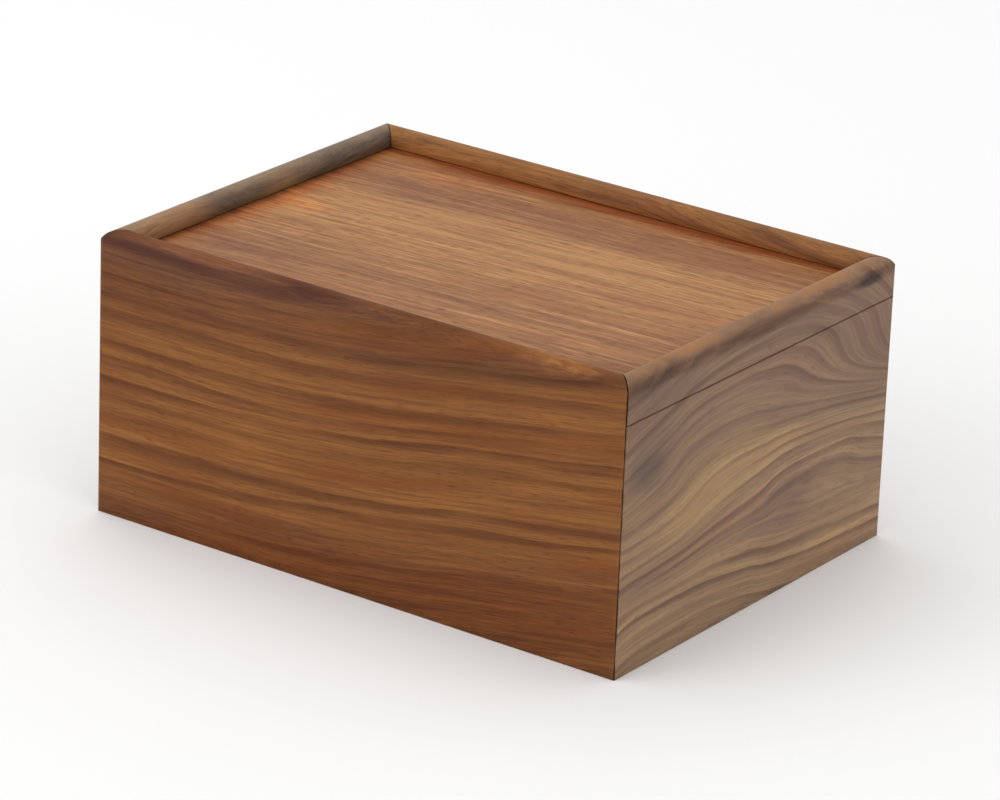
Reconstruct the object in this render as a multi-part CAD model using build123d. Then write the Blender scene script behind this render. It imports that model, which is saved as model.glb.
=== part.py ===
from build123d import *
import os
from math import sqrt

# Slide-top box with two lined compartments, in millimetres.
# Four mitred walls stand round a base that is held in grooves, with a glued partition across the middle.
# The lid is a panel with a tongue on each edge. Three of the edges run in grooves of the walls. The fourth is
# glued into a strip of the rim, and pulling that strip draws the whole lid out along +X.
# +X is the way the lid slides out, +Y the back and +Z up. The origin is the middle of the footprint.

# Case, outside
length = 216.0              # along the slide
width = 159.0               # across the slide
height = 102.0              # table to the top of the rim
wall = 10.0                 # thickness of the walls, and width of their half-round rim
corner_radius = 1.2         # softened vertical corners
sawn_bevel = 0.25           # fine bevel along the foot of the walls and both sides of the lid's seam

# Lid
lid_drop = 6.2              # top of the rim to the upper face of the lid
lid_thickness = 8.0         # middle of the panel
tongue_thickness = 4.0      # edges of the panel, rebated from below
groove_depth = 4.5          # grooves that the tongue runs in
strip_tongue = 5.0          # reach of the tongue that is glued into the end strip

# Running clearances of the lid
groove_gap = 0.3            # above and below the tongue
edge_gap = 0.5              # past the tongue's edge, and between the panel's middle and the walls
mitre_gap = 0.3             # between the mitres of the strip and of the long walls
seam_gap = 0.3              # between the strip and the wall under it

# Base and divider
base_lift = 4.0             # table to the underside of the base panel
base_thickness = 5.0
base_groove = 4.5           # depth of the grooves that hold the base panel
base_play = 0.5             # room for the base panel to swell in its grooves
divider_thickness = 6.0
divider_housing = 3.0       # depth of the housings in the long walls
divider_drop = 3.0          # underside of the lid to the divider's top edge
divider_round = 1.5         # softened top edges of the divider

# Lining and corner splines
baize_thickness = 1.0
baize_gap = 0.5             # between the baize and the wood round it
spline_thickness = 2.0
spline_width = 6.0          # across the mitre, half in each wall
spline_inset = 5.0          # inside corner to the middle of the spline, along the mitre
spline_stop = 8.0           # solid wood left above and below a spline

# Heights and inside sizes that follow
lid_top = height - lid_drop
lid_under = lid_top - lid_thickness
tongue_low = lid_top - tongue_thickness
near_top = lid_under - seam_gap
base_top = base_lift + base_thickness
divider_top = lid_under - divider_drop
inner_length = length - 2 * wall
inner_width = width - 2 * wall
tongue_reach = groove_depth - edge_gap
base_reach = base_groove - base_play


def board_section(foot, top, half_round):
    """Section across a board between two heights, outer face on x = 0 and inner face on x = wall.

    The outer edge of the foot has a fine bevel. The top is a half-round or a sawn edge with the same bevel.
    """
    if half_round:
        shoulder = top - wall / 2
        head = ThreePointArc((wall, shoulder), (wall / 2, top), (0, shoulder))
    else:
        head = Polyline((wall, top), (sawn_bevel, top), (0, top - sawn_bevel))
    sides = Polyline(head @ 1, (0, foot + sawn_bevel), (sawn_bevel, foot), (wall, foot), head @ 0)
    return make_face(head.edges() + sides.edges())


def groove(depth, low, high):
    """Rectangle taken out of a section's inner face between two heights."""
    return Pos(wall - depth / 2, (low + high) / 2) * Rectangle(depth, high - low)


def upright(plan):
    """Prism on a plan, reaching past the foot and the rim, to trim boards with."""
    return Pos(0, 0, -wall) * extrude(plan, height + 2 * wall)


def mitred_board(section, run):
    """Board along X with the given section, outer face on y = 0, both ends cut at 45 degrees.

    The outer corners of its plan are those of a rectangle with softened corners, as long as the board.
    """
    across = Plane(origin=(-run / 2, 0, 0), x_dir=(0, 1, 0), z_dir=(1, 0, 0))
    mitred = Polygon(
        (-run / 2, 0), (run / 2, 0), (run / 2 - wall, wall), (-run / 2 + wall, wall), align=None
    )
    softened = Pos(0, wall) * RectangleRounded(run, 2 * wall, corner_radius)
    return extrude(across * section, run) & upright(mitred & softened)


def block(x_range, y_range, z_range):
    """Rectangular block between three pairs of coordinates."""
    sizes = [high - low for low, high in (x_range, y_range, z_range)]
    middle = [(high + low) / 2 for low, high in (x_range, y_range, z_range)]
    return Pos(*middle) * Box(*sizes)


def spline(x_side, y_side):
    """Loose tongue in one corner's mitre, square to the joint and stopped at both ends."""
    from_corner = (wall * sqrt(2) - spline_inset) / sqrt(2)
    low = base_top + spline_stop
    high = near_top - spline_stop
    place = Pos(x_side * (length / 2 - from_corner), y_side * (width / 2 - from_corner), (low + high) / 2)
    return place * Rot(0, 0, -45 * x_side * y_side) * Box(spline_width, spline_thickness, high - low)


# Divider: its blank also cuts the housings, and its two upper edges are softened
divider_blank = block(
    (-divider_thickness / 2, divider_thickness / 2),
    (-inner_width / 2 - divider_housing, inner_width / 2 + divider_housing),
    (base_top, divider_top),
)
upper_edges = divider_blank.edges().filter_by(Axis.Y).group_by(Axis.Z)[-1]
divider = fillet(upper_edges, divider_round)

# Splines, one in each glued corner
ends = {"near": 1, "far": -1}
sides = {"front": -1, "back": 1}
splines = {
    f"{end}_{side}_spline": spline(x_side, y_side)
    for end, x_side in ends.items()
    for side, y_side in sides.items()
}

# Walls and lid strip: one section each, mitred and turned to their sides
base_slot = groove(base_groove, base_lift, base_top)
lid_slot = groove(groove_depth, tongue_low - groove_gap, lid_top + groove_gap)
strip_slot = groove(strip_tongue, tongue_low, lid_top)
full_section = board_section(0, height, True) - base_slot - lid_slot
near_section = board_section(0, near_top, False) - base_slot
strip_section = board_section(lid_under, height, True) - strip_slot
strip_run = width - 2 * sqrt(2) * mitre_gap
boards = {
    "front_wall": Pos(0, -width / 2) * mitred_board(full_section, length),
    "back_wall": Pos(0, width / 2) * Rot(0, 0, 180) * mitred_board(full_section, length),
    "far_end_wall": Pos(-length / 2, 0) * Rot(0, 0, -90) * mitred_board(full_section, width),
    "near_end_wall": Pos(length / 2, 0) * Rot(0, 0, 90) * mitred_board(near_section, width),
    "lid_end_strip": Pos(length / 2, 0) * Rot(0, 0, 90) * mitred_board(strip_section, strip_run),
}
for name in ("front_wall", "back_wall", "far_end_wall", "near_end_wall"):
    for piece in splines.values():
        boards[name] -= piece
for name in ("front_wall", "back_wall"):
    boards[name] -= divider_blank

# Base panel, loose in its grooves
base_panel = block(
    (-inner_length / 2 - base_reach, inner_length / 2 + base_reach),
    (-inner_width / 2 - base_reach, inner_width / 2 + base_reach),
    (base_lift, base_top),
)

# Baize on the floor of each compartment
baize_width = (-inner_width / 2 + baize_gap, inner_width / 2 - baize_gap)
baize_height = (base_top, base_top + baize_thickness)
by_divider = divider_thickness / 2 + baize_gap
by_end = inner_length / 2 - baize_gap
near_floor_baize = block((by_divider, by_end), baize_width, baize_height)
far_floor_baize = block((-by_end, -by_divider), baize_width, baize_height)

# Lid panel: a thick middle between the walls, and a tongue all round, flush with the upper face
lid_middle = block(
    (-inner_length / 2 + edge_gap, inner_length / 2),
    (-inner_width / 2 + edge_gap, inner_width / 2 - edge_gap),
    (lid_under, lid_top),
)
lid_tongue = block(
    (-inner_length / 2 - tongue_reach, inner_length / 2 + strip_tongue),
    (-inner_width / 2 - tongue_reach, inner_width / 2 + tongue_reach),
    (tongue_low, lid_top),
)
lid_panel = lid_middle + lid_tongue

# Travel at which the tongue's far edge leaves the grooves of the long walls
lid_travel = inner_length + tongue_reach + groove_depth
print(f"the lid is clear of its grooves after {lid_travel:.1f} mm")

pieces = {
    **boards,
    **splines,
    "base_panel": base_panel,
    "divider": divider,
    "near_floor_baize": near_floor_baize,
    "far_floor_baize": far_floor_baize,
    "lid_panel": lid_panel,
}
os.makedirs("parts", exist_ok=True)
for name, piece in pieces.items():
    export_step(piece, f"parts/{name}.step")
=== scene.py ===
# %% [markdown]
# A slide-top box with two compartments
#
# The box is eight boards and panels of brown hardwood, finished with satin lacquer outside: a glued case,
# and a lid that slides out of it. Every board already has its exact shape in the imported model, so most of
# this lesson is about wood: how a tree's growth rings turn into the lines on a board, and how to build that
# once as node groups and use it on every board. Only the cloth on the floor of the two compartments is made
# here as new meshes.

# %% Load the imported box
from math import radians

import bpy
import numpy as np
from mathutils import Matrix, Quaternion, Vector


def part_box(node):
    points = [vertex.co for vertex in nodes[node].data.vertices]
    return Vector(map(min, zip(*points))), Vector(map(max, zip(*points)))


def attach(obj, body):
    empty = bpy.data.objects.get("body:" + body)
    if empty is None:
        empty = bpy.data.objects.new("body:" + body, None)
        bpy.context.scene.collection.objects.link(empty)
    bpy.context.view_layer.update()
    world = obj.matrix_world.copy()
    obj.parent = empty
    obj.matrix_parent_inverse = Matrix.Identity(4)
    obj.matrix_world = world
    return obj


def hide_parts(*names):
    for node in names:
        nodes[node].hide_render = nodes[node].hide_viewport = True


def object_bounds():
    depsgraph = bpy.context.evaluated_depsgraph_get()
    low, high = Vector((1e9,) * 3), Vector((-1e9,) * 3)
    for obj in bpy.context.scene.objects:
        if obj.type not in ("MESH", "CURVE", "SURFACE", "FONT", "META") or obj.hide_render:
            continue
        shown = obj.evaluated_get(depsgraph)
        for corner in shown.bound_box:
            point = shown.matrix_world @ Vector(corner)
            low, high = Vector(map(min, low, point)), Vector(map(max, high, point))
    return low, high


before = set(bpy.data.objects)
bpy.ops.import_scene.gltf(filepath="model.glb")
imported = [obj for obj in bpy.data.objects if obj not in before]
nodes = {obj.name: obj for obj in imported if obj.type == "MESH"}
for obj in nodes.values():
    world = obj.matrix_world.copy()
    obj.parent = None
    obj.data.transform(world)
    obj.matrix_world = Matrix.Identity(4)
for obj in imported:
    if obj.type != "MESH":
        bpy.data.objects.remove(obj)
cad_low, cad_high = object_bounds()
MM = 0.001
to_millimetres = (1 / MM, 1 / MM, 1 / MM)
half_length = cad_high.x / MM
half_width = cad_high.y / MM
rim_height = cad_high.z / MM
print("pieces in the packed model:", len(nodes))
print("half length, half width and height in millimetres:", half_length, half_width, rim_height)

# %% [markdown]
# Where the camera stands
#
# The photograph looks at the box from 35 degrees round to the right of its long front, and 21 degrees up.
# A camera in the same place sees the same perspective, and a long lens fills the frame with the box. The
# box stood off to the side of that photograph, which leans it a little, so the camera is rolled by the same
# small angle.

# %% Place the camera
view_from = Vector((0.961, -1.361, 0.700))
aim = Vector((0.003, 0.0, 0.046))
lens_mm = 189.6
sensor_mm = 36.0
lean = radians(2.26)

camera_data = bpy.data.cameras.new("camera")
camera_data.lens = lens_mm
camera_data.sensor_width = sensor_mm
camera = bpy.data.objects.new("camera", camera_data)
bpy.context.scene.collection.objects.link(camera)
camera.location = view_from
camera.rotation_mode = "QUATERNION"
camera.rotation_quaternion = (aim - view_from).to_track_quat("-Z", "Y") @ Quaternion((0, 0, 1), lean)
bpy.context.scene.camera = camera
print("the camera is", round((aim - view_from).length, 3), "m from the box")

# %% [markdown]
# Small helpers for shader nodes
#
# A node tree is easier to read as a list of steps than as a web of wires. `put` adds one node and fills in
# its inputs: a plain value is set on the socket, and another node's output is linked to it. The other
# helpers are short names for the nodes that this lesson uses again and again.

# %% Node helpers


def put(tree, kind, inputs=None, **settings):
    """Add a node, set its properties, and set or link each input, given by name or by number."""
    node = tree.nodes.new(kind)
    for name, value in settings.items():
        setattr(node, name, value)
    for key, value in (inputs or {}).items():
        if isinstance(value, bpy.types.NodeSocket):
            tree.links.new(value, node.inputs[key])
        else:
            node.inputs[key].default_value = value
    return node


def maths(tree, operation, *values, clamp=False):
    """One step of arithmetic on numbers."""
    node = put(tree, "ShaderNodeMath", dict(enumerate(values)), operation=operation, use_clamp=clamp)
    return node.outputs[0]


def product(tree, *values):
    """All the values multiplied together."""
    total = values[0]
    for value in values[1:]:
        total = maths(tree, "MULTIPLY", total, value)
    return total


def added(tree, *values):
    """All the values added together."""
    total = values[0]
    for value in values[1:]:
        total = maths(tree, "ADD", total, value)
    return total


def vector_maths(tree, operation, *values):
    """One step of arithmetic on vectors."""
    return put(tree, "ShaderNodeVectorMath", dict(enumerate(values)), operation=operation).outputs[0]


def mix_values(tree, share, first, second):
    """Blend two numbers by a share from 0 to 1."""
    return put(tree, "ShaderNodeMix", {0: share, 2: first, 3: second}, data_type="FLOAT").outputs[0]


def mix_colours(tree, share, first, second, mode="MIX"):
    """Blend two colours by a share from 0 to 1, or tint the first by the second in MULTIPLY mode."""
    inputs = {0: share, 6: first, 7: second}
    return put(tree, "ShaderNodeMix", inputs, data_type="RGBA", blend_type=mode).outputs[2]


def fade(tree, value, low, high, start=0.0, end=1.0):
    """Take a value from low..high to start..end along a smooth S-shaped slope."""
    inputs = {0: value, 1: low, 2: high, 3: start, 4: end}
    return put(tree, "ShaderNodeMapRange", inputs, interpolation_type="SMOOTHSTEP").outputs[0]


def split(tree, vector):
    """The three parts of a vector."""
    return put(tree, "ShaderNodeSeparateXYZ", {0: vector}).outputs


def join(tree, x, y, z):
    """A vector from its three parts."""
    return put(tree, "ShaderNodeCombineXYZ", {0: x, 1: y, 2: z}).outputs[0]


def noise(tree, vector, sizes, seed, detail=2.0, roughness=0.5):
    """Smooth noise from 0 to 1 whose blobs are stretched to the given sizes along the vector's axes."""
    scaled = vector_maths(tree, "DIVIDE", vector, sizes)
    inputs = {"Vector": scaled, "W": seed, "Scale": 1.0, "Detail": detail, "Roughness": roughness}
    return put(tree, "ShaderNodeTexNoise", inputs, noise_dimensions="4D").outputs[0]


def swing(tree, vector, sizes, seed, reach, detail=2.0):
    """The same noise about zero, times a reach."""
    return product(tree, maths(tree, "SUBTRACT", noise(tree, vector, sizes, seed, detail), 0.5), reach)


def new_group(name, inputs, outputs):
    """An empty node group with named sockets. Returns the group, and its inputs and outputs inside."""
    group = bpy.data.node_groups.new(name, "ShaderNodeTree")
    kinds = {float: "NodeSocketFloat", tuple: "NodeSocketVector", list: "NodeSocketColor"}
    for socket, default in inputs.items():
        made = group.interface.new_socket(socket, in_out="INPUT", socket_type=kinds[type(default)])
        made.default_value = default
    for socket, kind in outputs.items():
        group.interface.new_socket(socket, in_out="OUTPUT", socket_type=kinds[kind])
    start = group.nodes.new("NodeGroupInput")
    end = group.nodes.new("NodeGroupOutput")
    return group, start.outputs, end.inputs


def place_group(tree, group, inputs):
    """Place a node group in a material, with its own values, and return its outputs."""
    return put(tree, "ShaderNodeGroup", inputs, node_tree=group).outputs


print("node helpers are ready")

# %% [markdown]
# From growth rings to lines on a board
#
# A board is a slice of a tree. Inside it every point has a place along the grain, and a place across the
# growth rings. If the trunk were a perfect cylinder, the lines on the board would be straight. Real trunks
# swell and bend, so the lines rise, fall and arch. This group takes a point in board coordinates, in
# millimetres (along the grain, across the face, through the thickness), takes the bend of the lines away,
# and gives grain coordinates: along the grain, across the rings, through the thickness. Everything else
# about the wood is drawn in those.

# %% Group: grain coordinates
long_wave_sizes = (62.0, 24.0, 24.0)
short_wave_sizes = (17.0, 11.0, 11.0)
short_wave_share = 0.35

grain_group, given, result = new_group(
    "grain_coordinates",
    {"Board": (0.0, 0.0, 0.0), "Bend": 0.0, "Lean": 0.4, "Wobble": 1.5, "Seed": 0.0},
    {"Grain": tuple},
)
board, seed, wobble = given["Board"], given["Seed"], given["Wobble"]
along, across, deep = split(grain_group, board)
long_waves = swing(grain_group, board, long_wave_sizes, seed, wobble, detail=1.0)
short_waves = swing(grain_group, board, short_wave_sizes, seed, wobble, detail=1.0)
ring = maths(grain_group, "SUBTRACT", across, given["Bend"])
leaning = product(grain_group, deep, given["Lean"])
ring = added(grain_group, ring, leaning, long_waves, product(grain_group, short_waves, short_wave_share))
grain_group.links.new(join(grain_group, along, ring, deep), result["Grain"])
print("built", grain_group.name)

# %% [markdown]
# The wood itself
#
# Brown hardwood has several layers of detail, from broad to fine. Broad bands of golden and of purple-brown
# wood follow the rings. Each ring darkens slowly and ends in a soft line. Fine streaks run with the grain, a
# few of them pale. Patches are redder than the rest. Last come the pores: short dark dashes, under half a
# millimetre thick. The bands are given, the rings come from the place across them, and the rest is noise in
# grain coordinates, stretched by different amounts. The group gives the colour, a height for the bump that
# open grain leaves in lacquer, and a value for how dull the surface is.

# %% Group: hardwood
# Sizes of the noise in millimetres: along the grain, across the rings, through the thickness
drift_sizes = (230.0, 17.0, 40.0)
feather_sizes = (24.0, 1.1, 1.1)
patch_sizes = (60.0, 7.0, 20.0)
streak_thickness = 1.5
fibre_sizes = (12.0, 0.42, 0.42)
pore_sizes = (5.5, 0.4, 0.4)
mottle_sizes = (34.0, 5.0, 5.0)
red_sizes = (95.0, 10.0, 16.0)
pale_sizes = (210.0, 1.2, 5.0)

# How strong each layer is
drift_in_rings = 2.6
feather_in_rings = 0.32
mottle_share = 0.9
fine_lines_per_ring = 3.4
pore_darkness = 0.6
pale_lift = (1.30, 1.32, 1.36, 1.0)
fibre_height = 0.3
streak_dullness = 0.7
pore_dullness = 0.5

wood_group, given, result = new_group(
    "hardwood",
    {
        "Grain": (0.0, 0.0, 0.0),
        "Bands": 0.5,
        "Seed": 0.0,
        "Ring width": 7.0,
        "Lines": 0.5,
        "Fine lines": 0.6,
        "Streaks": 0.55,
        "Streak length": 70.0,
        "Pale streaks": 0.0,
        "Red patches": 0.5,
        "Pores": 0.7,
        "Light": [0.3, 0.15, 0.07, 1.0],
        "Dark": [0.1, 0.04, 0.02, 1.0],
        "Red": [0.15, 0.04, 0.01, 1.0],
        "Line colour": [0.05, 0.02, 0.01, 1.0],
    },
    {"Colour": list, "Height": float, "Dullness": float},
)
grain, seed = given["Grain"], given["Seed"]
ring = split(wood_group, grain)[1]

# Growth rings: how far along its ring each point lies, with feathered edges and uneven widths
drift = swing(wood_group, grain, drift_sizes, seed, drift_in_rings)
feather = swing(wood_group, grain, feather_sizes, seed, feather_in_rings, detail=3.0)
count = added(wood_group, maths(wood_group, "DIVIDE", ring, given["Ring width"]), drift, feather)
within = maths(wood_group, "FRACT", count)
late = product(wood_group, fade(wood_group, within, 0.2, 0.85), fade(wood_group, within, 1.0, 0.87))
which_ring = put(wood_group, "ShaderNodeTexWhiteNoise", {"W": maths(wood_group, "FLOOR", count)},
                 noise_dimensions="1D").outputs[0]
patches = noise(wood_group, grain, patch_sizes, seed)
late = product(wood_group, late, fade(wood_group, which_ring, 0.0, 1.0, 0.35, 1.25),
               fade(wood_group, patches, 0.32, 0.6, 0.45, 1.15))

# Finer lines between them, in groups
fine = maths(wood_group, "PINGPONG", maths(wood_group, "MULTIPLY", count, fine_lines_per_ring), 0.5)
fine_places = fade(wood_group, patches, 0.62, 0.42, 0.08, 1.0)
fine = product(wood_group, fade(wood_group, fine, 0.26, 0.5), fine_places, given["Fine lines"])
lines = product(wood_group, maths(wood_group, "MAXIMUM", late, fine), given["Lines"])

# Streaks, fibres and pores
streak_sizes = join(wood_group, given["Streak length"], streak_thickness, streak_thickness)
streaks = noise(wood_group, grain, streak_sizes, seed, detail=4.0, roughness=0.62)
fibres = noise(wood_group, grain, fibre_sizes, seed, detail=2.0)
pores = noise(wood_group, grain, pore_sizes, seed, detail=0.0)
pore_places = fade(wood_group, patches, 0.35, 0.6, 0.4, 1.0)
pores = product(wood_group, fade(wood_group, pores, 0.58, 0.74), pore_places, given["Pores"])
uneven = added(wood_group, fade(wood_group, streaks, 0.28, 0.72, -0.5, 0.5),
               fade(wood_group, fibres, 0.25, 0.75, -0.3, 0.3),
               swing(wood_group, grain, mottle_sizes, seed, mottle_share, detail=3.0))
tone = maths(wood_group, "ADD", given["Bands"], product(wood_group, uneven, given["Streaks"]), clamp=True)

# Colour: bands, then red patches, lines, pores and a few pale streaks
red = fade(wood_group, noise(wood_group, grain, red_sizes, seed, detail=3.0), 0.45, 0.7)
pale = fade(wood_group, noise(wood_group, grain, pale_sizes, seed, detail=0.0), 0.64, 0.8)
pale_share = product(wood_group, pale, given["Pale streaks"])
colour = mix_colours(wood_group, tone, given["Dark"], given["Light"])
colour = mix_colours(wood_group, product(wood_group, red, given["Red patches"]), colour, given["Red"])
colour = mix_colours(wood_group, lines, colour, given["Line colour"])
colour = mix_colours(wood_group, product(wood_group, pores, pore_darkness), colour, given["Line colour"])
colour = mix_colours(wood_group, pale_share, colour, pale_lift, mode="MULTIPLY")
wood_group.links.new(colour, result["Colour"])
grooves = added(wood_group, pores, product(wood_group, fibres, fibre_height))
wood_group.links.new(maths(wood_group, "SUBTRACT", 1.0, grooves), result["Height"])
dullness = added(wood_group, product(wood_group, streaks, streak_dullness),
                 product(wood_group, pores, pore_dullness))
wood_group.links.new(dullness, result["Dullness"])
print("built", wood_group.name)

# %% [markdown]
# Knots and blotches
#
# A knot is the foot of a branch, and a small one shows as a dark smudge with a ragged outline. A patch of
# golden sapwood, a painted highlight, or a band of painted shadow and reflection along a wall is the same
# shape in another tint. The mask fades with the distance from the blotch's centre, measured in its own
# length, height and depth, and frayed by noise. Given grain coordinates, a blotch bends with the lines that
# run through it. A branch crosses the rings, and painted shadow along a wall follows the wall whatever the
# grain does, so such marks can get board coordinates instead.

# %% Group: blotch
outer_edge = 1.1
fray_sizes = (32.0, 2.6, 8.0)
fray_seed = 2.0

blotch_group, given, result = new_group(
    "blotch",
    {
        "Point": (0.0, 0.0, 0.0),
        "Centre": (0.0, 0.0, 0.0),
        "Size": (8.0, 5.0, 20.0),
        "Softness": 0.6,
        "Fraying": 1.2,
    },
    {"Mask": float},
)
apart = vector_maths(blotch_group, "SUBTRACT", given["Point"], given["Centre"])
apart = vector_maths(blotch_group, "DIVIDE", apart, given["Size"])
apart = put(blotch_group, "ShaderNodeVectorMath", {0: apart}, operation="LENGTH").outputs["Value"]
frayed = swing(blotch_group, given["Point"], fray_sizes, fray_seed, given["Fraying"], detail=4.0)
inner_edge = maths(blotch_group, "SUBTRACT", outer_edge, given["Softness"])
mask = fade(blotch_group, added(blotch_group, apart, frayed), outer_edge, inner_edge)
blotch_group.links.new(mask, result["Mask"])
print("built", blotch_group.name)

# %% [markdown]
# Joints and edges of the case
#
# The four walls meet in mitres: each end is cut at 45 degrees. However well it is cut, a mitre shows as one
# thin dark line down the corner and across the rim. The line lies where a point is as far from the end of
# the box as from its side, so the group finds it from the point's place, and leaves out the cut faces
# themselves, which show when the lid is out. In the same way it finds the corners and the crest of the rim,
# where hands have worn the lacquer dull; the crest's colour is partly that wear and partly painted light.
# It finds the foot, where a painted contact shadow darkens the wall in patches, and the shoulder of the
# rim just below the crest, which is darker in patches.

# %% Group: case edges
edge_group, given, result = new_group(
    "case_edges",
    {
        "Place": (0.0, 0.0, 0.0),
        "Normal": (0.0, 0.0, 1.0),
        "Half length": 100.0,
        "Half width": 80.0,
        "Rim height": 100.0,
        "Crest width": 1.6,
        "Line width": 0.45,
    },
    {"Glue line": float, "Corner": float, "Crest": float, "Shoulder": float, "Foot shadow": float},
)
place = given["Place"]
x, y, z = split(edge_group, place)

# Mitres: the line between two walls, without the cut faces
outwards = vector_maths(edge_group, "SIGN", place)
away_x, away_y, _ = split(edge_group, vector_maths(edge_group, "MULTIPLY", given["Normal"], outwards))
mitre_face = fade(edge_group, product(edge_group, away_x, away_y), -0.3, -0.45)
other_face = maths(edge_group, "SUBTRACT", 1.0, mitre_face)
to_end = maths(edge_group, "SUBTRACT", given["Half length"], maths(edge_group, "ABSOLUTE", x))
to_side = maths(edge_group, "SUBTRACT", given["Half width"], maths(edge_group, "ABSOLUTE", y))
off_mitre = maths(edge_group, "ABSOLUTE", maths(edge_group, "SUBTRACT", to_end, to_side))
reach = fade(edge_group, noise(edge_group, place, (3.0, 3.0, 7.0), 4.0), 0.3, 0.7, 0.55, 1.25)
reach = product(edge_group, given["Line width"], reach)
glue_line = maths(edge_group, "SUBTRACT", 1.0, maths(edge_group, "DIVIDE", off_mitre, reach), clamp=True)
glue_line = product(edge_group, fade(edge_group, glue_line, 0.0, 0.6), other_face)
edge_group.links.new(glue_line, result["Glue line"])

# Wear on the corners and the crest, the shoulder below the crest, and painted contact shadow at the foot
rubbed = noise(edge_group, place, (12.0, 12.0, 12.0), 6.0, detail=3.0)
rubbed = fade(edge_group, rubbed, 0.3, 0.65, 0.2, 1.0)
corner = fade(edge_group, maths(edge_group, "MAXIMUM", to_end, to_side), 2.2, 0.2)
edge_group.links.new(product(edge_group, corner, rubbed), result["Corner"])
below_rim = maths(edge_group, "SUBTRACT", given["Rim height"], z)
crest = product(edge_group, fade(edge_group, below_rim, given["Crest width"], 0.1), rubbed)
edge_group.links.new(crest, result["Crest"])
# The shoulder just below the crest, darker in patches
shoulder_patches = noise(edge_group, place, (14.0, 14.0, 2.5), 7.0, detail=3.0)
shoulder_patches = fade(edge_group, shoulder_patches, 0.3, 0.6, 0.35, 1.0)
under_crest = fade(edge_group, below_rim, 1.0, 2.7)
above_face = fade(edge_group, below_rim, 6.8, 4.0)
edge_group.links.new(product(edge_group, under_crest, above_face, shoulder_patches), result["Shoulder"])
# Painted contact shadow: darker in patches over the lowest 5 mm of the wall, where it stands on the floor
foot_shadow_patches = fade(edge_group, noise(edge_group, place, (9.0, 9.0, 3.0), 8.0, detail=3.0), 0.3, 0.7)
edge_group.links.new(product(edge_group, fade(edge_group, z, 5.0, 0.0), foot_shadow_patches), result["Foot shadow"])
print("built", edge_group.name)

# %% [markdown]
# One material for each board
#
# All boards share the groups, but no two pieces of wood are alike. A board's material turns the model's axes
# to its own grain, bends the lines as that board's figure bends, and lays its light and dark bands along the
# rings. The bend and the bands are curves through a few given points each. The cut ends of the
# fibres drink more lacquer than the faces, so where a surface faces along the grain it is darker.

# %% Wood material
turns = {
    "long": Matrix(((1, 0, 0), (0, 0, 1), (0, -1, 0))),
    "end": Matrix(((0, 1, 0), (0, 0, 1), (1, 0, 0))),
    "flat": Matrix(((1, 0, 0), (0, 1, 0), (0, 0, 1))),
}
# Near-black of the glue lines in the mitres, also used for the painted contact shadow at the foot
joint_and_shadow_colour = (0.016, 0.009, 0.006, 1.0)
cut_end_share = 0.55
smoother_by = 0.06
rougher_by = 0.08
corner_share = 0.25
# How far the painted contact shadow at the foot darkens the wall
foot_shadow_share = 0.35
worn_dullness = 0.25
grain_bump = 0.3
grain_depth = 0.08 * MM


def drawn_curve(tree, value, points):
    """A smooth curve through a few given (place, height) points."""
    places, heights = np.array(points, float).T
    shares = (places - places[0]) / np.ptp(places)
    levels = (heights - heights.min()) / np.ptp(heights)
    spots = np.stack([shares, levels], axis=1)
    share = put(tree, "ShaderNodeMapRange", {0: value, 1: places[0], 2: places[-1]}).outputs[0]
    node = put(tree, "ShaderNodeFloatCurve", {"Value": share})
    curve = node.mapping.curves[0]
    curve.points[0].location = spots[0]
    curve.points[1].location = spots[-1]
    for spot in spots[1:-1]:
        curve.points.new(*spot)
    node.mapping.update()
    ends = {0: node.outputs[0], 3: heights.min(), 4: heights.max()}
    return put(tree, "ShaderNodeMapRange", ends).outputs[0]


def bent_lines(tree, along, across, bends):
    """How far the lines rise along a board: a curve for each height, blended at the heights between."""
    heights = sorted(bends)
    rise = drawn_curve(tree, along, bends[heights[0]])
    for low, high in zip(heights, heights[1:]):
        rise = mix_values(tree, fade(tree, across, low, high), rise, drawn_curve(tree, along, bends[high]))
    return rise


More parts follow.
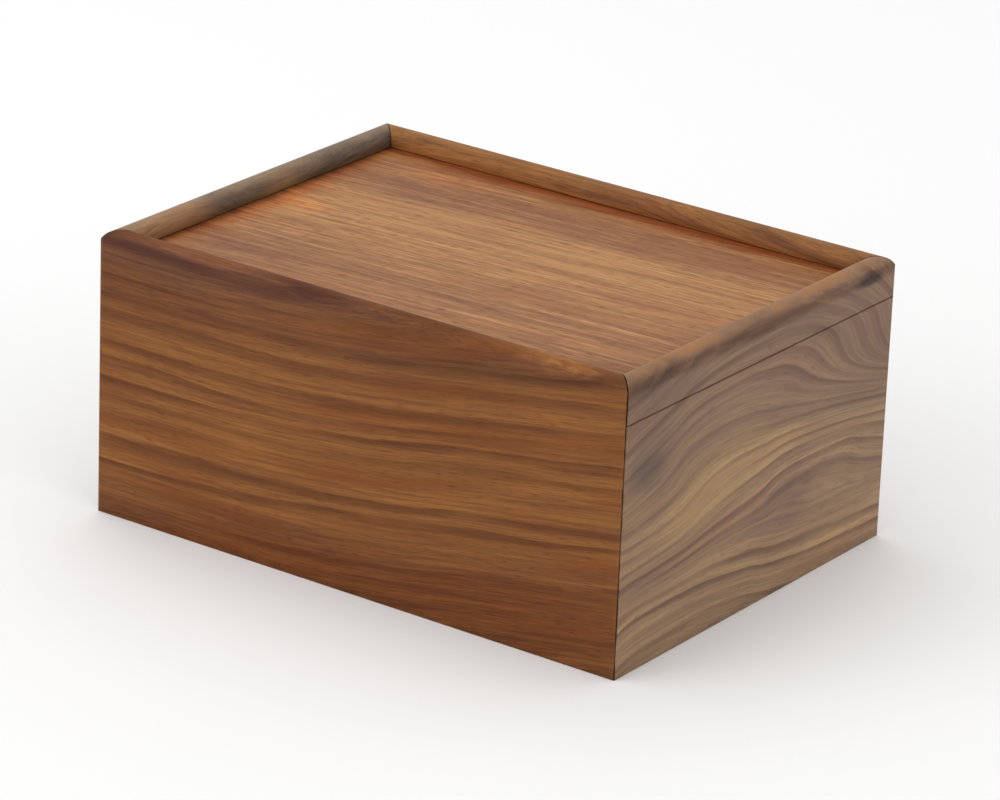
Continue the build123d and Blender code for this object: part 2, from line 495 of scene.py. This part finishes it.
def lacquered(name, turn, start, bends, bands, seed, colours, wood=None, wobble=1.5, blotches=(), spots=(),
              rim=None, gloss=0.2, dull=0.42):
    """Lacquered board. turn says how it lies, and start is where its board coordinates begin.

    bends holds a curve of the lines for one height or more, bands is the curve of light and dark across the
    rings, colours are the light wood, the dark wood, the red patches and the lines, and wood holds other
    inputs of the hardwood group. A blotch is a centre and a size in grain coordinates, a tint that the
    wood's colour is multiplied by, a softness and a fraying. A spot is the same in board coordinates. A wall
    of the case has a rim: the colour of its crest, which is partly wear and partly painted light, how far
    that covers the wood, how far below the top it reaches, and the shoulder's tint. All lengths are in
    millimetres.
    """
    material = bpy.data.materials.new(name)
    material.use_nodes = True
    tree = material.node_tree
    shader = tree.nodes["Principled BSDF"]

    # Board coordinates, grain coordinates and the wood
    coordinates = put(tree, "ShaderNodeTexCoord").outputs
    place = vector_maths(tree, "MULTIPLY", coordinates["Object"], to_millimetres)
    origin = -(turns[turn] @ Vector(start))
    turned = {"Vector": place, "Rotation": turns[turn].to_euler(), "Location": origin}
    board = put(tree, "ShaderNodeMapping", turned).outputs[0]
    along, across, _ = split(tree, board)
    bent = {"Board": board, "Bend": bent_lines(tree, along, across, bends), "Wobble": wobble, "Seed": seed}
    grain = place_group(tree, grain_group, bent)["Grain"]
    light, dark, red, line_colour = colours
    figure = {"Grain": grain, "Bands": drawn_curve(tree, split(tree, grain)[1], bands), "Seed": seed,
              "Light": light, "Dark": dark, "Red": red, "Line colour": line_colour}
    made = place_group(tree, wood_group, figure | (wood or {}))
    colour = made["Colour"]

    # Blotches and spots, then the cut ends of the fibres
    marks = [(grain, blotch) for blotch in blotches] + [(board, spot) for spot in spots]
    for point, (centre, size, tint, softness, fraying) in marks:
        shape = {"Point": point, "Centre": centre, "Size": size, "Softness": softness, "Fraying": fraying}
        mask = place_group(tree, blotch_group, shape)["Mask"]
        colour = mix_colours(tree, mask, colour, tint, mode="MULTIPLY")
    facing = put(tree, "ShaderNodeVectorMath", {0: coordinates["Normal"], 1: turns[turn][0]},
                 operation="DOT_PRODUCT").outputs["Value"]
    cut_end = fade(tree, maths(tree, "ABSOLUTE", facing), 0.5, 0.95, 0.0, cut_end_share)
    colour = mix_colours(tree, cut_end, colour, line_colour)
    roughness = fade(tree, made["Dullness"], 0.1, 0.7, dull - smoother_by, dull + rougher_by)

    # Joints, wear, painted light on the crest, and painted contact shadow at the foot of the walls of the
    # case
    if rim:
        crest_colour, crest_share, crest_width, shoulder_tint = rim
        case = {"Place": place, "Normal": coordinates["Normal"], "Half length": half_length,
                "Half width": half_width, "Rim height": rim_height, "Crest width": crest_width}
        edges = place_group(tree, edge_group, case)
        # Darker in patches on the shoulder below the crest
        colour = mix_colours(tree, edges["Shoulder"], colour, shoulder_tint, mode="MULTIPLY")
        # Crest colour: partly wear, partly painted light. It is a painted highlight on most walls; on the
        # front wall it is painted darker to offset the grazing sheen of the lacquer
        colour = mix_colours(tree, product(tree, edges["Crest"], crest_share), colour, crest_colour)
        colour = mix_colours(tree, product(tree, edges["Corner"], corner_share), colour, light)
        # Painted contact shadow at the foot of the wall
        colour = mix_colours(tree, product(tree, edges["Foot shadow"], foot_shadow_share), colour, joint_and_shadow_colour)
        colour = mix_colours(tree, edges["Glue line"], colour, joint_and_shadow_colour)
        worn = maths(tree, "MAXIMUM", edges["Corner"], edges["Crest"])
        roughness = maths(tree, "ADD", roughness, product(tree, worn, worn_dullness))
    tree.links.new(colour, shader.inputs["Base Color"])
    tree.links.new(roughness, shader.inputs["Roughness"])
    open_grain = {"Height": made["Height"], "Strength": grain_bump, "Distance": grain_depth}
    tree.links.new(put(tree, "ShaderNodeBump", open_grain).outputs[0], shader.inputs["Normal"])
    shader.inputs["Specular IOR Level"].default_value = gloss
    return material


def finish_with(material, *names):
    """Put one material on CAD pieces."""
    for name in names:
        nodes[name].data.materials.clear()
        nodes[name].data.materials.append(material)
    print(material.name, "on", ", ".join(names))


# %% [markdown]
# The long walls
#
# The front board is the reddest. Its lines start level at the far end and climb towards the near end, and
# its top edge runs through a purple-brown band. The back board is a sister of it with a more golden figure.

# %% Front and back
front_colours = ((0.312, 0.127, 0.034, 1), (0.132, 0.050, 0.025, 1), (0.188, 0.057, 0.016, 1),
                 (0.076, 0.025, 0.012, 1))
front_wood = lacquered(
    "front_wood", "long", (0, -half_width, 2.3), seed=3.0, colours=front_colours, gloss=0.05,
    bends={0: [(-108, 0), (-50, 1), (0, 5), (50, 12.5), (108, 21.5)]},
    bands=[(-22, 0.3), (3, 0.3), (12, 0.38), (21, 0.6), (26, 0.48), (31, 0.64), (36, 0.50), (40, 0.70),
           (45.5, 0.52), (48.5, 0.64), (52, 0.42), (55, 0.62), (59, 0.50), (63, 0.52), (66.5, 0.62),
           (71, 0.38), (74, 0.54), (81, 0.20), (83.5, 0.32), (85.5, 0.23), (89, 0.36), (94, 0.22),
           (108, 0.2)],
    wood={"Lines": 0.50, "Red patches": 0.65},
    blotches=[
        ((-60, 95, 0), (95, 10, 25), (0.82, 0.87, 1.16, 1), 0.7, 0.9),
        ((45, 77, 0), (68, 4.5, 25), (0.72, 0.76, 0.88, 1), 0.8, 1.2),
        ((25, 88.5, -4), (38, 4, 12), (0.78, 0.77, 0.86, 1), 0.8, 0.8),
        ((-92, 78, 0), (62, 17, 25), (0.88, 0.88, 0.95, 1), 1.0, 0.8),
        # The next two are painted highlights on the rim: a golden one near the right end, and one along the
        # crest at the left
        ((80, 81, -6), (36, 6.5, 6.5), (2.15, 2.36, 1.96, 1), 0.8, 0.8),
        ((-66, 98, -7), (45, 3.8, 7), (1.75, 1.75, 1.75, 1), 0.7, 0.5),
        ((20, -8, 0), (170, 22, 30), (0.86, 0.74, 0.64, 1), 0.9, 1.0),
    ],
    # Dark crest colour: painted darker to offset the grazing sheen of the lacquer
    rim=((0.160, 0.050, 0.010, 1), 0.4, 1.2, (0.90, 0.88, 0.90, 1)),
)
finish_with(front_wood, "front_wall")

back_colours = ((0.335, 0.140, 0.040, 1), (0.142, 0.052, 0.018, 1), (0.194, 0.056, 0.015, 1),
                (0.072, 0.023, 0.009, 1))
back_wood = lacquered(
    "back_wood", "long", (40, half_width, 12), seed=41.0, colours=back_colours, gloss=0.12,
    bends={0: [(-150, -4), (-60, 3), (0, -2), (70, -9)]},
    bands=[(-20, 0.4), (10, 0.55), (24, 0.4), (40, 0.62), (52, 0.5), (63, 0.35), (76, 0.5), (86, 0.66),
           (100, 0.6)],
    wood={"Streaks": 0.8, "Red patches": 0.7},
    blotches=[((-95, 88, 0), (50, 5, 20), (1.15, 1.10, 0.95, 1), 0.8, 1.6)],
    # Lighter crest colour: partly wear, partly a painted highlight
    rim=((0.36, 0.180, 0.058, 1), 0.3, 1.2, (1.0, 0.93, 0.90, 1)),
)
finish_with(back_wood, "back_wall")

# %% [markdown]
# The end boards
#
# The near end and the strip above its seam share one material, so the figure runs on across the seam as it
# does on a strip sawn off its own board: a hump of lines, golden below, with a small knot at the left and
# another on the strip, near its right end. Both ends are greyer than the long walls, and the far one is the
# darker of the two.

# %% Ends
near_colours = ((0.365, 0.230, 0.116, 1), (0.193, 0.108, 0.071, 1), (0.262, 0.132, 0.076, 1),
                (0.124, 0.062, 0.041, 1))
near_end_wood = lacquered(
    "near_end_wood", "end", (half_length, 0, 0), seed=11.0, colours=near_colours, gloss=0.2,
    bends={
        18: [(-80, -3.5), (-42, 0.5), (-10, -1.5), (16, -6), (50, -8), (80, -8)],
        42: [(-80, -14), (-50, -11), (-28, -5), (0, 0), (23, 4.5), (45, 4), (67, -0.5), (80, -4)],
        70: [(-80, -16), (-55, -8), (-37, -1.5), (-18, 0), (7, -3.5), (33, -11.5), (55, -21.5), (80, -38)],
        90: [(-80, -15), (-51, -7), (-37, -2.5), (-18, 0), (7, 0.5), (21, -1), (41, -6), (58, -14),
             (80, -30)],
    },
    bands=[(-20, 0.55), (5, 0.62), (14, 0.66), (22, 0.88), (26, 0.72), (31, 0.52), (37, 0.44), (40, 0.62),
           (43, 0.52), (47, 0.60), (53, 0.88), (58, 0.74), (63, 0.52), (69, 0.30), (75, 0.40), (80, 0.24),
           (85, 0.30), (92, 0.28), (98, 0.08), (104, 0.14), (130, 0.2)],
    wood={"Ring width": 6.0, "Lines": 0.62, "Fine lines": 0.45, "Streaks": 0.6, "Pores": 0.55},
    blotches=[
        ((62, 70, 0), (28, 15, 30), (0.86, 0.86, 0.90, 1), 0.9, 1.0),
        ((-52, 34, 0), (40, 6, 30), (0.86, 0.86, 0.90, 1), 0.8, 1.0),
        ((-14, 56, 0), (48, 11, 30), (1.18, 1.19, 1.04, 1), 0.4, 0.7),
        ((0, 39, 0), (75, 4, 30), (1.24, 1.18, 1.14, 1), 0.7, 1.2),
        ((12, 32, 0), (26, 8, 30), (0.86, 0.84, 0.94, 1), 0.8, 1.2),
        ((54, 17, 0), (36, 7, 30), (1.20, 1.18, 1.12, 1), 0.8, 1.0),
        ((-66, 84, 0), (20, 12, 30), (0.82, 0.84, 0.88, 1), 0.9, 1.0),
        ((-74, 68, 0), (12, 5, 30), (1.18, 1.18, 1.0, 1), 0.9, 0.8),
        ((-62, 110, 0), (28, 8, 20), (0.62, 0.60, 0.62, 1), 0.9, 1.2),
        ((-8, 98, 0), (24, 3.5, 20), (0.72, 0.72, 0.68, 1), 0.7, 1.4),
    ],
    spots=[
        ((-65, 67.5, 0), (14, 9, 30), (0.70, 0.74, 0.80, 1), 0.9, 1.0),
        ((63, 97.6, 0), (11, 2.6, 12), (0.22, 0.20, 0.23, 1), 0.8, 0.9),
    ],
    # Lighter crest colour: partly wear, partly a painted highlight from the light above
    rim=((0.350, 0.168, 0.062, 1), 0.85, 2.0, (0.66, 0.56, 0.45, 1)),
)
finish_with(near_end_wood, "near_end_wall", "lid_end_strip")

far_colours = ((0.240, 0.150, 0.072, 1), (0.085, 0.052, 0.032, 1), (0.150, 0.070, 0.030, 1),
               (0.045, 0.024, 0.015, 1))
far_end_wood = lacquered(
    "far_end_wood", "end", (-half_length, 0, 0), seed=57.0, colours=far_colours, gloss=0.3,
    bends={
        15: [(-80, 1), (-30, -1), (20, 2.5), (80, -2)],
        52: [(-80, -9), (-45, -2), (-12, 3), (20, 3), (50, -1.5), (80, -10)],
        92: [(-80, -3), (-40, 5), (0, -4), (45, 3), (80, 9)],
    },
    bands=[(-20, 0.4), (18, 0.5), (36, 0.3), (53, 0.6), (68, 0.42), (82, 0.5), (94, 0.3), (108, 0.35)],
    wood={"Ring width": 8.0},
    blotches=[
        ((-54, 98, 8), (30, 10, 9), (2.20, 1.76, 1.26, 1), 0.8, 1.2),
        ((8, 104, 8), (14, 5, 9), (1.75, 1.48, 1.12, 1), 0.9, 1.4),
        ((-22, 97, 8), (14, 7, 20), (0.78, 0.80, 0.86, 1), 0.8, 1.2),
        ((48, 98, 8), (44, 10, 20), (0.88, 0.87, 0.92, 1), 0.8, 1.2),
    ],
    # Lighter crest colour: partly wear, partly a painted highlight
    rim=((0.36, 0.245, 0.150, 1), 0.5, 1.6, (0.90, 0.88, 0.86, 1)),
)
finish_with(far_end_wood, "far_end_wall")

# %% [markdown]
# The lid
#
# The panel is a quartered board: cut so that the rings stand on edge, which draws them as fine straight
# streaks, two of them long and pale. Where the panel runs under the back wall and the far end, painted
# shadow from the walls and a painted reflection of the dark walls in the lacquer deepen the colour to orange
# and red-brown.

# %% Lid
lid_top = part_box("lid_panel")[1].z / MM
lid_colours = ((0.470, 0.228, 0.072, 1), (0.226, 0.080, 0.027, 1), (0.315, 0.104, 0.030, 1),
               (0.135, 0.046, 0.013, 1))
lid_wood = lacquered(
    "lid_wood", "flat", (0, 0, lid_top), seed=23.0, colours=lid_colours, gloss=0.12, wobble=0.5,
    bends={0: [(-108, -7.5), (0, 0), (108, 7.5)]},
    bands=[(-80, 0.35), (-60, 0.36), (-50, 0.46), (-42, 0.34), (-24, 0.5), (-8, 0.62), (8, 0.88), (26, 0.82),
           (36, 0.3), (50, 0.16), (58, 0.4), (80, 0.4)],
    wood={"Ring width": 5.5, "Lines": 0.34, "Fine lines": 0.25, "Streaks": 1.1, "Streak length": 42.0,
          "Pale streaks": 0.9, "Red patches": 0.4, "Pores": 1.3},
    blotches=[
        ((-77, -42, 0), (40, 16, 20), (0.83, 0.80, 0.89, 1), 1.0, 1.2),
        ((92, -2, 0), (55, 45, 20), (0.92, 0.88, 0.88, 1), 1.0, 0.8),
        ((92, -68, 0), (32, 21, 20), (0.80, 0.78, 0.66, 1), 1.0, 1.0),
        ((-84, 7, 0), (13, 7, 20), (1.35, 1.18, 0.95, 1), 0.8, 1.5),
        ((-62, 58, 0), (22, 6, 20), (1.30, 1.16, 1.0, 1), 0.8, 1.5),
        # Painted shadow and reflection along the far wall: a wide orange band, then a narrow dark one
        # against the wall
        ((-104, 8, 0), (17, 95, 20), (0.95, 0.62, 0.40, 1), 0.5, 1.1),
        ((-103, 0, 0), (9.5, 140, 20), (0.48, 0.50, 0.58, 1), 0.5, 0.5),
        ((63, -32.3, 0), (36, 1.1, 20), (1.48, 1.52, 1.64, 1), 0.7, 0.5),
        ((50, -50.2, 0), (42, 1.1, 20), (1.48, 1.52, 1.64, 1), 0.7, 0.5),
        ((25, 0.8, 0), (38, 1.6, 20), (0.86, 0.84, 0.84, 1), 0.8, 0.9),
    ],
    # Painted shadow and reflection in red-brown along the back wall
    spots=[((0, 75, 0), (190, 13, 20), (0.68, 0.42, 0.34, 1), 0.4, 0.6)],
)
finish_with(lid_wood, "lid_panel")

# %% [markdown]
# Inside
#
# The base and the divider are plainer boards with a thin seal in place of lacquer. The splines are pale
# slips of wood inside the mitres, hidden once the case is glued.

# %% Base, divider and splines
plain_colours = ((0.330, 0.185, 0.090, 1), (0.170, 0.080, 0.038, 1), (0.230, 0.100, 0.042, 1),
                 (0.090, 0.038, 0.018, 1))
base_wood = lacquered(
    "base_wood", "flat", (30, 10, 0), seed=71.0, colours=plain_colours, dull=0.55,
    bends={0: [(-140, 3), (-40, -3), (80, 4)]},
    bands=[(-90, 0.4), (-50, 0.6), (-20, 0.42), (10, 0.62), (35, 0.4), (70, 0.55)],
)
finish_with(base_wood, "base_panel")
divider_wood = lacquered(
    "divider_wood", "end", (0, 0, 0), seed=83.0, colours=plain_colours, dull=0.5,
    bends={0: [(-75, -2), (0, 4), (75, -3)]},
    bands=[(-10, 0.35), (20, 0.6), (40, 0.45), (62, 0.66), (90, 0.4)],
)
finish_with(divider_wood, "divider")
pale_colours = ((0.560, 0.400, 0.235, 1), (0.420, 0.270, 0.140, 1), (0.460, 0.280, 0.130, 1),
                (0.300, 0.170, 0.080, 1))
spline_wood = lacquered(
    "spline_wood", "flat", (0, 0, 0), seed=91.0, colours=pale_colours, dull=0.6,
    bends={0: [(-110, 0), (110, 2)]},
    bands=[(-80, 0.4), (0, 0.6), (80, 0.5)],
)
finish_with(spline_wood, "near_front_spline", "near_back_spline", "far_front_spline", "far_back_spline")

# %% [markdown]
# Baize on the floor of the compartments
#
# Baize is a thin felted wool that keeps what is stored from knocking on bare wood. It could be a flat slab,
# but glued cloth is never quite flat, and scissors never cut it quite straight. So each piece is a grid of
# points over its outline, with long shallow swells in the face and a small wander along the cut edges. A
# Solidify modifier then gives the cloth its thickness downwards.

# %% Felt sheets
felt_thickness = 0.85 * MM
points_in_x = 73
points_in_y = 107
slow_wander = 0.10
quick_wander = 0.06
edge_inset = 0.16
face_drop = 0.06 * MM
swell_height = 0.03 * MM


def felt_sheet(name, node, phase):
    """Cloth cut to the outline of a CAD node, with its face just under that node's upper face.

    Point (u, v) lies u of the way along the outline in x and v of the way in y. Its height is a little under
    the node's face, plus crossed and slanting sine swells. A point on a cut edge moves inwards by an inset
    with two sines along that edge, in millimetres, and the move dies away over the first points inside it.
    """
    low, high = (np.array(corner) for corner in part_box(node))
    u, v = np.meshgrid(np.linspace(0, 1, points_in_x), np.linspace(0, 1, points_in_y), indexing="ij")
    size = high - low
    wander_x = slow_wander * np.sin(61 * v + phase) + quick_wander * np.sin(143 * v + 2 * phase)
    wander_y = slow_wander * np.sin(47 * u + phase) + quick_wander * np.sin(117 * u + 3 * phase)
    at_edge_x = (2 * u - 1) ** 41
    at_edge_y = (2 * v - 1) ** 61
    x = low[0] + size[0] * u + (wander_x - edge_inset) * MM * at_edge_x
    y = low[1] + size[1] * v + (wander_y - edge_inset) * MM * at_edge_y
    swell = np.sin(9 * u + phase) * np.sin(11 * v + 2 * phase) + 0.5 * np.sin(23 * u - 17 * v + phase)
    z = high[2] - face_drop + swell_height * swell
    points = np.stack([x, y, z], axis=-1).reshape(-1, 3)
    index = np.arange(u.size).reshape(u.shape)
    corners = [index[:-1, :-1], index[1:, :-1], index[1:, 1:], index[:-1, 1:]]
    faces = np.stack(corners, axis=-1).reshape(-1, 4)
    mesh = bpy.data.meshes.new(name)
    mesh.from_pydata(points, [], faces)
    mesh.shade_smooth()
    cloth = bpy.data.objects.new(name, mesh)
    bpy.context.scene.collection.objects.link(cloth)
    thick = cloth.modifiers.new("thickness", "SOLIDIFY")
    thick.thickness = felt_thickness
    thick.offset = -1.0
    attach(cloth, "case")
    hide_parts(node)
    return cloth


near_felt = felt_sheet("near_felt", "near_floor_baize", 0.7)
far_felt = felt_sheet("far_felt", "far_floor_baize", 2.9)
print("felt points:", len(near_felt.data.vertices), len(far_felt.data.vertices))

# %% [markdown]
# Napped wool
#
# Felt has no weave to see: short fibres lie every way, brushed into a nap. Cloudy patches show where the nap
# leans, and single fibres glint. Sheen on the shader gives the soft bright edge that wool has at low angles.

# %% Felt material
deep_green = (0.012, 0.066, 0.032, 1)
mid_green = (0.022, 0.098, 0.050, 1)
fibre_green = (0.050, 0.165, 0.092, 1)
fibre_share = 0.55
nap_bump = 0.6
nap_depth = 0.3 * MM

felt = bpy.data.materials.new("felt")
felt.use_nodes = True
felt_tree = felt.node_tree
felt_shader = felt_tree.nodes["Principled BSDF"]
felt_place = put(felt_tree, "ShaderNodeTexCoord").outputs["Object"]
felt_place = vector_maths(felt_tree, "MULTIPLY", felt_place, to_millimetres)
clouds = noise(felt_tree, felt_place, (16.0, 11.0, 12.0), 1.0, detail=3.0)
hairs = noise(felt_tree, felt_place, (0.5, 1.4, 0.5), 2.0, detail=3.0, roughness=0.65)
crossing = noise(felt_tree, felt_place, (1.5, 0.45, 0.5), 3.0, detail=3.0, roughness=0.65)
nap = maths(felt_tree, "MAXIMUM", hairs, crossing)
felt_colour = mix_colours(felt_tree, fade(felt_tree, clouds, 0.3, 0.7), deep_green, mid_green)
glints = fade(felt_tree, nap, 0.5, 0.8, 0.0, fibre_share)
felt_colour = mix_colours(felt_tree, glints, felt_colour, fibre_green)
felt_tree.links.new(felt_colour, felt_shader.inputs["Base Color"])
felt_tree.links.new(fade(felt_tree, nap, 0.3, 0.8, 0.98, 0.82), felt_shader.inputs["Roughness"])
felt_bump = put(felt_tree, "ShaderNodeBump", {"Height": nap, "Strength": nap_bump, "Distance": nap_depth})
felt_tree.links.new(felt_bump.outputs[0], felt_shader.inputs["Normal"])
felt_shader.inputs["Specular IOR Level"].default_value = 0.1
felt_shader.inputs["Sheen Weight"].default_value = 0.35
felt_shader.inputs["Sheen Roughness"].default_value = 0.5
felt_shader.inputs["Sheen Tint"].default_value = (0.55, 0.80, 0.62, 1)
for cloth in (near_felt, far_felt):
    cloth.data.materials.append(felt)
print("felt finished")

# %% [markdown]
# Floor and light
#
# The box stands on a plain pale floor in soft light from large lamps, so that its shadow is wide and faint.
# The sky gives most of the light, and shows as plain white to the camera and in the gloss of the lacquer.

# %% Floor and light
floor_reach = 6.0
floor_mesh = bpy.data.meshes.new("floor")
floor_corners = np.array([(-1, -1, 0), (1, -1, 0), (1, 1, 0), (-1, 1, 0)]) * floor_reach
floor_mesh.from_pydata(floor_corners, [], [(0, 1, 2, 3)])
floor = bpy.data.objects.new("floor", floor_mesh)
bpy.context.scene.collection.objects.link(floor)
floor_paint = bpy.data.materials.new("floor_paint")
floor_paint.use_nodes = True
floor_shader = floor_paint.node_tree.nodes["Principled BSDF"]
floor_shader.inputs["Base Color"].default_value = (0.94, 0.94, 0.94, 1)
floor_shader.inputs["Roughness"].default_value = 0.9
floor_shader.inputs["Specular IOR Level"].default_value = 0.1
floor_mesh.materials.append(floor_paint)

world = bpy.data.worlds.new("studio")
bpy.context.scene.world = world
world.use_nodes = True
sky = world.node_tree
sky_light = 0.74
sky_seen = 1.0
background = sky.nodes["Background"]
background.inputs["Color"].default_value = (1, 1, 1, 1)
ray = put(sky, "ShaderNodeLightPath").outputs
seen = maths(sky, "MAXIMUM", ray["Is Camera Ray"], ray["Is Glossy Ray"])
seen = maths(sky, "MAXIMUM", seen, ray["Is Transmission Ray"])
strength = put(sky, "ShaderNodeMapRange", {0: seen, 3: sky_light, 4: sky_seen}).outputs[0]
sky.links.new(strength, background.inputs["Strength"])


def softbox(name, place, size, watts):
    """Square area lamp that faces the box."""
    lamp = bpy.data.lights.new(name, "AREA")
    lamp.size = size
    lamp.energy = watts
    holder = bpy.data.objects.new(name, lamp)
    holder.location = place
    holder.rotation_euler = (aim - Vector(place)).to_track_quat("-Z", "Y").to_euler()
    bpy.context.scene.collection.objects.link(holder)


softbox("top_softbox", (-0.5, 0.3, 1.8), 1.8, 9.0)
softbox("front_softbox", (-1.2, -1.9, 0.9), 2.0, 20.0)
softbox("right_softbox", (2.0, -0.4, 0.8), 1.6, 6.0)
bpy.context.scene.view_settings.view_transform = "Standard"
